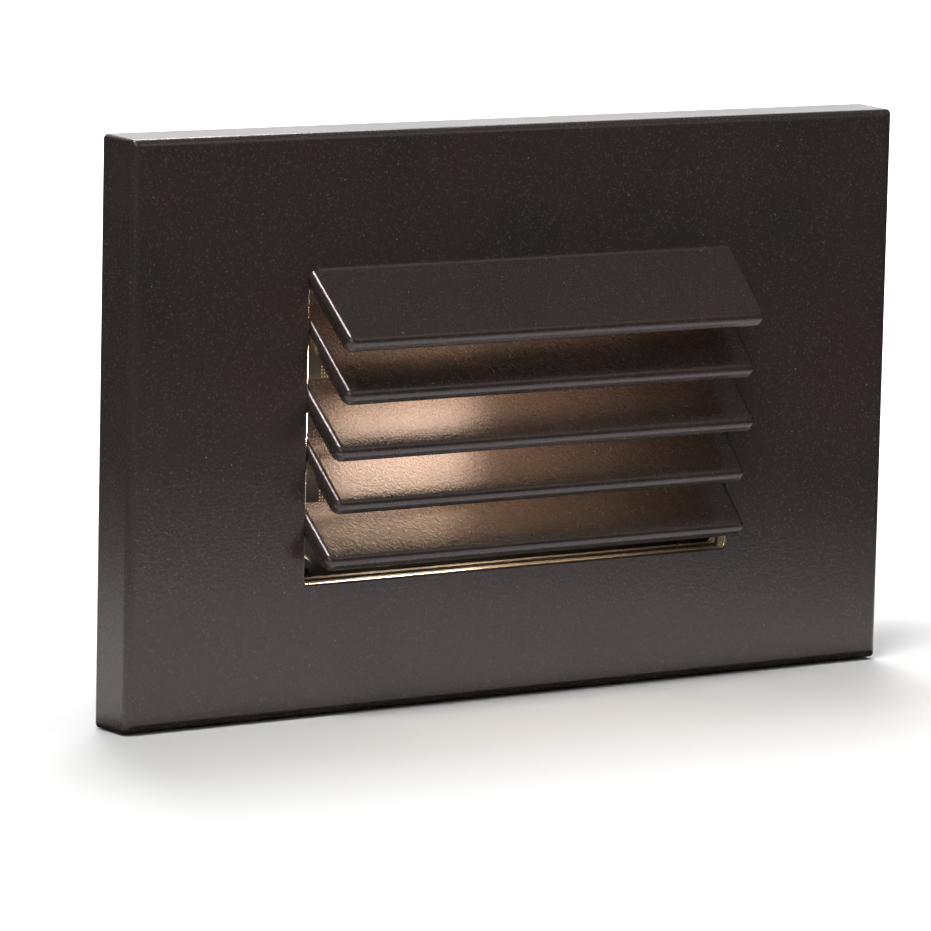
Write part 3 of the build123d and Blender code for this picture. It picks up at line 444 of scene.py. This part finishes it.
# %% [markdown]
# ## Metals
#
# Three bare metals show from the back: the housing and its cover are aluminium castings, shot-blasted to
# an even grey; the fasteners are stainless; the bracket is pressed steel with a thin black coat.

# %% Castings, fasteners and the bracket
casting = new_finish("blasted_casting", (0.42, 0.42, 0.43), 0.55, metallic=0.85)
mottle(casting, (0.36, 0.36, 0.37), (0.48, 0.48, 0.49), 6.0)
add_relief(casting, noise(casting, 0.35, detail=4.0), 0.02)
vary_gloss(casting, 0.48, 0.62, 3.0)
paint(casting, "housing", "rear_cover")

stainless = new_finish("stainless_steel", (0.6, 0.6, 0.6), 0.28, metallic=1.0)
mottle(stainless, (0.55, 0.55, 0.56), (0.66, 0.66, 0.66), 1.2)
vary_gloss(stainless, 0.2, 0.36, 0.5)
paint(stainless, "cover_screws", "set_screws", "insert_push_nuts", "led_board_screws",
      "driver_board_screws")

black_oxide = new_finish("black_oxide", (0.012, 0.012, 0.013), 0.35, metallic=0.4)
mottle(black_oxide, (0.009, 0.009, 0.010), (0.018, 0.018, 0.019), 1.0)
vary_gloss(black_oxide, 0.3, 0.45, 0.6)
paint(black_oxide, "bracket_screws")

black_coat = new_finish("black_dip_coat", (0.008, 0.008, 0.008), 0.42)
mottle(black_coat, (0.006, 0.006, 0.006), (0.012, 0.012, 0.012), 5.0)
add_relief(black_coat, noise(black_coat, 0.5), 0.004)
vary_gloss(black_coat, 0.36, 0.5, 4.0)
paint(black_coat, "mounting_bracket")

# %% [markdown]
# ## Rubber, foam and nylon
#
# The wall gasket is closed-cell foam, so its skin is pitted. The silicone seals are smooth and slightly
# see-through at the edge, which a little sheen suggests. The wire bushing is moulded in black nylon.

# %% Soft and moulded pieces
foam = new_finish("closed_cell_foam", (0.03, 0.03, 0.03), 0.85)
mottle(foam, (0.022, 0.022, 0.022), (0.045, 0.045, 0.045), 0.7)
add_relief(foam, noise(foam, 0.4, detail=3.0), 0.12)
paint(foam, "wall_gasket")

silicone = new_finish("grey_silicone", (0.34, 0.34, 0.32), 0.5, Sheen_Weight=0.2)
mottle(silicone, (0.30, 0.30, 0.29), (0.38, 0.38, 0.36), 3.0)
add_relief(silicone, noise(silicone, 0.6), 0.01)
paint(silicone, "lens_gasket", "cover_gasket")

black_nylon = new_finish("black_nylon", (0.012, 0.012, 0.012), 0.4)
mottle(black_nylon, (0.010, 0.010, 0.010), (0.017, 0.017, 0.017), 2.0)
add_relief(black_nylon, noise(black_nylon, 0.25), 0.006)
paint(black_nylon, "wire_bushing", "transformer_bobbin", "bridge_rectifier", "driver_chip")

ground_green = new_finish("green_plating", (0.02, 0.17, 0.05), 0.3, metallic=0.6)
mottle(ground_green, (0.015, 0.13, 0.04), (0.03, 0.22, 0.07), 1.5)
vary_gloss(ground_green, 0.22, 0.4, 0.8)
paint(ground_green, "ground_screw")

# %% [markdown]
# ## Inside the housing
#
# Nothing here shows in the portrait, but each piece still gets its own finish, because the part may be
# taken apart on screen: glass-epoxy boards, shrink-sleeved capacitors, sintered ferrite, resin-dipped
# discs, a tape-wrapped winding.

# %% Boards and light engine
board_green = new_finish("solder_mask_green", (0.01, 0.07, 0.025), 0.35)
mottle(board_green, (0.008, 0.055, 0.02), (0.014, 0.085, 0.03), 1.5)
add_relief(board_green, noise(board_green, 0.3), 0.01)
paint(board_green, "driver_board")

board_white = new_finish("solder_mask_white", (0.75, 0.75, 0.72), 0.4)
mottle(board_white, (0.70, 0.70, 0.67), (0.80, 0.80, 0.78), 2.0)
paint(board_white, "led_board")

reflector_white = new_finish("moulded_white", (0.82, 0.82, 0.80), 0.3)
mottle(reflector_white, (0.79, 0.79, 0.76), (0.85, 0.85, 0.83), 4.0)
paint(reflector_white, "reflector")

phosphor = new_finish("phosphor_resin", (0.75, 0.5, 0.1), 0.5)
mottle(phosphor, (0.70, 0.45, 0.08), (0.80, 0.56, 0.13), 0.5)
shader_of(phosphor).inputs["Emission Color"].default_value = (1.0, 0.73, 0.42, 1.0)
shader_of(phosphor).inputs["Emission Strength"].default_value = 2.0
paint(phosphor, "led_packages")

pad_blue = new_finish("thermal_pad_blue", (0.22, 0.28, 0.34), 0.7)
mottle(pad_blue, (0.20, 0.25, 0.31), (0.25, 0.31, 0.37), 1.0)
paint(pad_blue, "thermal_pad")

tinned_brass = new_finish("tinned_brass", (0.62, 0.55, 0.38), 0.3, metallic=1.0)
mottle(tinned_brass, (0.58, 0.50, 0.33), (0.66, 0.62, 0.46), 0.8)
paint(tinned_brass, "feed_pins")

natural_nylon = new_finish("natural_nylon", (0.66, 0.63, 0.52), 0.45, Subsurface_Weight=0.1)
mottle(natural_nylon, (0.62, 0.59, 0.49), (0.70, 0.67, 0.56), 2.0)
paint(natural_nylon, "pin_bushing", "driver_insulator")

# %% [markdown]
# The driver's parts are known by their colours: black shrink sleeve on the capacitors, orange and blue
# dipped resin, dark ferrite, yellow tape round the winding and a pale ceramic fuse. Each is a small
# mottled finish.

# %% Driver parts
sleeve = new_finish("capacitor_sleeve", (0.01, 0.01, 0.014), 0.25)
mottle(sleeve, (0.008, 0.008, 0.012), (0.014, 0.014, 0.02), 2.0)
paint(sleeve, "filter_capacitor", "output_capacitor")

dipped_resin = new_finish("dipped_resin", (0.52, 0.22, 0.012), 0.3)
mottle(dipped_resin, (0.47, 0.19, 0.010), (0.57, 0.26, 0.02), 2.0)
paint(dipped_resin, "film_capacitor")

ferrite = new_finish("sintered_ferrite", (0.03, 0.03, 0.032), 0.55)
mottle(ferrite, (0.025, 0.025, 0.027), (0.04, 0.04, 0.042), 0.8)
add_relief(ferrite, noise(ferrite, 0.2, detail=3.0), 0.02)
paint(ferrite, "transformer_core", "choke")

winding_tape = new_finish("winding_tape", (0.75, 0.5, 0.03), 0.35)
mottle(winding_tape, (0.70, 0.46, 0.02), (0.80, 0.56, 0.05), 1.5)
paint(winding_tape, "transformer_winding")

varistor_blue = new_finish("varistor_blue", (0.02, 0.05, 0.28), 0.35)
mottle(varistor_blue, (0.015, 0.04, 0.24), (0.03, 0.06, 0.32), 1.2)
paint(varistor_blue, "varistor")

fuse_ceramic = new_finish("fuse_ceramic", (0.62, 0.58, 0.5), 0.4)
mottle(fuse_ceramic, (0.58, 0.54, 0.46), (0.66, 0.62, 0.54), 1.0)
paint(fuse_ceramic, "fuse")

# %% [markdown]
# ## The table
#
# The light stands on a white table on its plate's bottom edge. The camera must see pure white with a soft
# shadow. The satin coat must see a bright table close by that fades into a dark room, because that fade
# is what shades the plate from black at the top to grey at the bottom. Two tables can't stand in one
# place, but one table can do both jobs, since its finish may ask who is looking. First comes the sheet
# itself.

# %% Lay the table
table_height = cad_box[0].z - 0.1 * mm
table_reach = 4.0


def flat_sheet(name, corners):
    mesh = bpy.data.meshes.new(name)
    mesh.from_pydata(corners, [], [tuple(range(len(corners)))])
    sheet = bpy.data.objects.new(name, mesh)
    bpy.context.scene.collection.objects.link(sheet)
    return sheet


table = flat_sheet("white_table", [
    (-table_reach, -table_reach, table_height),
    (table_reach, -table_reach, table_height),
    (table_reach, table_reach, table_height),
    (-table_reach, table_reach, table_height),
])
print("the table is", round((cad_box[0].z - table_height) / mm, 2), "mm under the plate")

# %% [markdown]
# The finish needs two distances. One runs from a painted pool of light under the plate's left half, a
# bright patch that only reflections see. The other runs from the foot, the strip that the plate stands on,
# and is measured as for any box: an absolute value folds the four quarters of the table on to one, half
# the foot's size comes off, what is negative becomes 0, and the length of the rest is the distance.

# %% Measure distances on the table
def empty_finish(name):
    finish = bpy.data.materials.new(name)
    finish.use_nodes = True
    finish.node_tree.nodes.clear()
    return finish


def vector_node(finish, operation, first, second, output="Vector"):
    node = add_node(finish, "ShaderNodeVectorMath", operation=operation)
    join(finish, first, node.inputs[0])
    node.inputs[1].default_value = second
    return node.outputs[output]


table_white = empty_finish("table_white")
table_place = add_node(table_white, "ShaderNodeTexCoord").outputs["Object"]
painted_pool_centre = Vector((-27.0, -5.0, -40.0)) * mm
from_patch = vector_node(table_white, "DISTANCE", table_place, painted_pool_centre, "Value")

nothing = (0.0, 0.0, 0.0)
foot_centre = Vector((0.0, -3.7, -40.0)) * mm
foot_half = Vector((63.7, 3.7, 1.0)) * mm
from_centre = vector_node(table_white, "SUBTRACT", table_place, foot_centre)
one_quarter = vector_node(table_white, "ABSOLUTE", from_centre, nothing)
past_edges = vector_node(table_white, "SUBTRACT", one_quarter, foot_half)
past_foot = vector_node(table_white, "MAXIMUM", past_edges, nothing)
from_foot = vector_node(table_white, "LENGTH", past_foot, nothing, "Value")
print("the foot is", round(2.0 * foot_half.x / mm, 1), "by", round(2.0 * foot_half.y / mm, 1), "mm")

# %% [markdown]
# The camera gets the paper as the lamps light it, plus a glow far off where they don't reach. The paper's
# colour carries a painted shadow: it is a little greyer round the foot, where the plate takes some of the
# studio's light away, and that draws the shadow out softly. A reflection gets a painted pool of light
# instead, a glow that dies away with the distance. The strip beside the foot gives none, so the plate's
# lower edge keeps a painted dark line. A Math node set to multiply works as a gate, since Light Path gives
# 1 for its own kind of ray and 0 for the rest.

# %% Mix what the camera and the reflections see
looking = add_node(table_white, "ShaderNodeLightPath")
far_glow = stretch(table_white, from_patch, 0.10, 0.45, 0.0, 1.0)
# painted reflection: a pool of light that only reflections see, 1.30 near the patch and 0.05 far off
painted_reflection_pool = stretch(table_white, from_patch, 0.21, 0.10, 0.05, 1.30)
# painted shade: the pool stops beside the foot, which leaves a dark line in the plate's lower edge
clear_of_foot = stretch(table_white, from_foot, 2.0 * mm, 12.0 * mm, 0.0, 1.0)
camera_glow = math_node(table_white, "MULTIPLY", looking.outputs["Is Camera Ray"], far_glow)
painted_pool_in_reflections = math_node(table_white, "MULTIPLY", looking.outputs["Is Glossy Ray"], painted_reflection_pool)
painted_pool_clear_of_foot = math_node(table_white, "MULTIPLY", painted_pool_in_reflections, clear_of_foot)
glow = add_node(table_white, "ShaderNodeEmission", Color=(1.0, 1.0, 1.0, 1.0))
join(table_white, math_node(table_white, "ADD", camera_glow, painted_pool_clear_of_foot), glow.inputs["Strength"])
paper = add_node(table_white, "ShaderNodeBsdfDiffuse")
# painted shadow: the paper's colour is 0.71 beside the foot and rises to 0.90 at 65 mm
paper_with_painted_shadow = stretch(table_white, from_foot, 4.0 * mm, 65.0 * mm, 0.71, 0.90)
join(table_white, paper_with_painted_shadow, paper.inputs["Color"])
no_paper = add_node(table_white, "ShaderNodeEmission", Strength=0.0)
lit_paper = add_node(table_white, "ShaderNodeMixShader")
join(table_white, looking.outputs["Is Glossy Ray"], lit_paper.inputs["Fac"])
join(table_white, paper.outputs["BSDF"], lit_paper.inputs[1])
join(table_white, no_paper.outputs["Emission"], lit_paper.inputs[2])
table_sum = add_node(table_white, "ShaderNodeAddShader")
table_output = add_node(table_white, "ShaderNodeOutputMaterial")
join(table_white, lit_paper.outputs["Shader"], table_sum.inputs[0])
join(table_white, glow.outputs["Emission"], table_sum.inputs[1])
join(table_white, table_sum.outputs["Shader"], table_output.inputs["Surface"])
table.data.materials.append(table_white)
print(table_white.name, "has", len(table_white.node_tree.nodes), "nodes")

# %% [markdown]
# ## The backdrop and the world
#
# The plate's top face is seen at a glancing angle, so it mirrors whatever stands behind the light. A
# white backdrop there turns it pale. The same gate as on the table gives the camera plain white and the
# reflections a little more.

# %% Hang the backdrop
mirrored_strength = 1.3
backdrop_left = -0.6
backdrop_right = 3.4
backdrop_behind = 1.6
backdrop_top = 1.2
backdrop = flat_sheet("backdrop", [
    (backdrop_left, backdrop_behind, table_height),
    (backdrop_right, backdrop_behind, table_height),
    (backdrop_right, backdrop_behind, backdrop_top),
    (backdrop_left, backdrop_behind, backdrop_top),
])
backdrop_white = empty_finish("backdrop_white")
backdrop_viewer = add_node(backdrop_white, "ShaderNodeLightPath")
backdrop_glow = add_node(backdrop_white, "ShaderNodeEmission", Color=(1.0, 1.0, 1.0, 1.0))
backdrop_output = add_node(backdrop_white, "ShaderNodeOutputMaterial")
to_camera = backdrop_viewer.outputs["Is Camera Ray"]
to_mirrors = backdrop_viewer.outputs["Is Glossy Ray"]
brighter_in_mirrors = math_node(backdrop_white, "MULTIPLY", to_mirrors, mirrored_strength)
backdrop_strength = math_node(backdrop_white, "MAXIMUM", to_camera, brighter_in_mirrors)
join(backdrop_white, backdrop_strength, backdrop_glow.inputs["Strength"])
join(backdrop_white, backdrop_glow.outputs["Emission"], backdrop_output.inputs["Surface"])
backdrop.data.materials.append(backdrop_white)
print("the backdrop stands", backdrop_behind, "m behind the light")

# %% [markdown]
# The world is white to the camera and a dim room to everything else: grey walls, and a ceiling that is
# four times as light. The ceiling lifts the faces that look up, and leaves the front dark.

# %% Furnish the room
room_walls = (0.06, 0.06, 0.06)
room_ceiling = (0.24, 0.24, 0.24)
room = bpy.data.worlds.new("grey_room")
bpy.context.scene.world = room
room.use_nodes = True
room.node_tree.nodes.clear()
room_viewer = add_node(room, "ShaderNodeLightPath")
room_direction = add_node(room, "ShaderNodeTexCoord")
room_height = add_node(room, "ShaderNodeSeparateXYZ")
join(room, room_direction.outputs["Generated"], room_height.inputs["Vector"])
ceiling = stretch(room, room_height.outputs["Z"], 0.55, 0.95)
room_grey = blend_colours(room, ceiling, room_walls, room_ceiling)
room_colour = blend_colours(room, room_viewer.outputs["Is Camera Ray"], room_grey, (1.0, 1.0, 1.0))
room_light = add_node(room, "ShaderNodeBackground")
room_output = add_node(room, "ShaderNodeOutputWorld")
join(room, room_colour, room_light.inputs["Color"])
join(room, room_light.outputs["Background"], room_output.inputs["Surface"])
print("the room is", room_walls[0], "grey with a ceiling of", room_ceiling[0])

# %% [markdown]
# ## The studio lamps
#
# Product light is soft and comes from above. Four lamps share the work, and each is placed by what it
# must not do as much as by what it must. The tall one stands behind the plate, a little to the right. It
# lights the table and the plate's top face, drops the shadow towards the camera, and is far enough back
# to leave the louvres' sloping tops dark, which mirror what is above and to the right. The small one
# overhead on the left draws the bright lines along the louvres' left edges: each edge is rounded, and
# somewhere on the rounding the lamp is mirrored straight into the camera. The broad one at the left front
# fills the side and the front, and a faint one at the right front keeps the right half from going flat.

# %% Hang the softboxes
def softbox(name, direction, distance, width, height, power):
    """A lamp so far from the light in that direction, facing it. The camera doesn't see it."""
    lamp_data = bpy.data.lights.new(name, "AREA")
    lamp_data.shape = "RECTANGLE"
    lamp_data.size = width
    lamp_data.size_y = height
    lamp_data.energy = power
    lamp = bpy.data.objects.new(name, lamp_data)
    bpy.context.scene.collection.objects.link(lamp)
    outward = Vector(direction).normalized()
    facing = (-outward).to_track_quat("-Z", "Y").to_matrix().to_4x4()
    lamp.matrix_world = Matrix.Translation(outward * distance) @ facing
    lamp.visible_camera = False
    print(name, power, "W at", distance, "m")
    return lamp


softbox("back_softbox", (0.28, 0.52, 0.80), 1.2, 0.45, 0.9, 12.5)
softbox("top_softbox", (-0.30, -0.20, 0.93), 1.2, 0.28, 0.28, 9.0)
softbox("front_softbox", (-0.60, -0.70, 0.40), 1.4, 0.8, 0.8, 4.0)
softbox("right_softbox", (0.42, -0.66, 0.62), 1.2, 0.5, 0.5, 0.6)

# %% [markdown]
# ## The lamp inside
#
# The object's own light comes from the LED board, 17 mm behind the front. Little of it shines straight
# on the louvres' upper faces, because they slope away from it. What the camera sees there is a double
# mirror image: off a louvre's top, up to the underside of the one above, and back over its own rear edge
# to the LEDs. That is why the glow sits left of the middle, and why the two middle louvres are brightest.
#
# Three sheets of light stand in for the LEDs seen through the lens. The small bright one is the LEDs
# themselves, a little low because the prisms throw the light down. The taller one is the prisms round
# them, which carry light up to the second louvre. The wide dim one is the rest of the lens. The last two
# are a deeper orange, as light is that has been round the reflector more than once.
#
# In a bright studio the lamp adds nothing that one could see on a white table. So light linking keeps the
# three sheets on the light's own pieces, and the table keeps its shadow.

# %% Light the LEDs
led_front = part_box("led_packages")[0].y
lit_by_leds = bpy.data.collections.new("lit_by_leds")
for piece in (*nodes.values(), *louvre_roots):
    lit_by_leds.objects.link(piece)


def glow_sheet(name, x, z, forward, width, height, power, colour):
    """A lamp that faces the room, some way forward of the LEDs. All lengths are in millimetres."""
    sheet_data = bpy.data.lights.new(name, "AREA")
    sheet_data.shape = "RECTANGLE"
    sheet_data.size = width * mm
    sheet_data.size_y = height * mm
    sheet_data.energy = power
    sheet_data.color = colour
    sheet = bpy.data.objects.new(name, sheet_data)
    bpy.context.scene.collection.objects.link(sheet)
    place = (x * mm, led_front - forward * mm, z * mm)
    sheet.matrix_world = Matrix.Translation(place) @ Matrix.Rotation(math.radians(-90), 4, "X")
    sheet.visible_camera = False
    sheet.light_linking.receiver_collection = lit_by_leds
    return sheet


led_glow = glow_sheet("led_glow", -5.5, -2.0, 0.3, 23.0, 15.0, 0.215, (1.0, 0.92, 0.66))
glow_sheet("prism_glow", -6.0, -2.0, 0.2, 24.0, 26.0, 0.17, (1.0, 0.60, 0.29))
glow_sheet("lens_glow", 0.0, -4.0, 0.1, 54.0, 24.0, 0.030, (1.0, 0.54, 0.26))
led_direction = led_glow.matrix_world.to_3x3() @ Vector((0.0, 0.0, -1.0))
print("and face", [round(value, 2) for value in led_direction])

# %% [markdown]
# ## The view transform
#
# The picture is rendered with Blender's Standard view transform.

# %% Set the view transform
bpy.context.scene.view_settings.view_transform = "Standard"
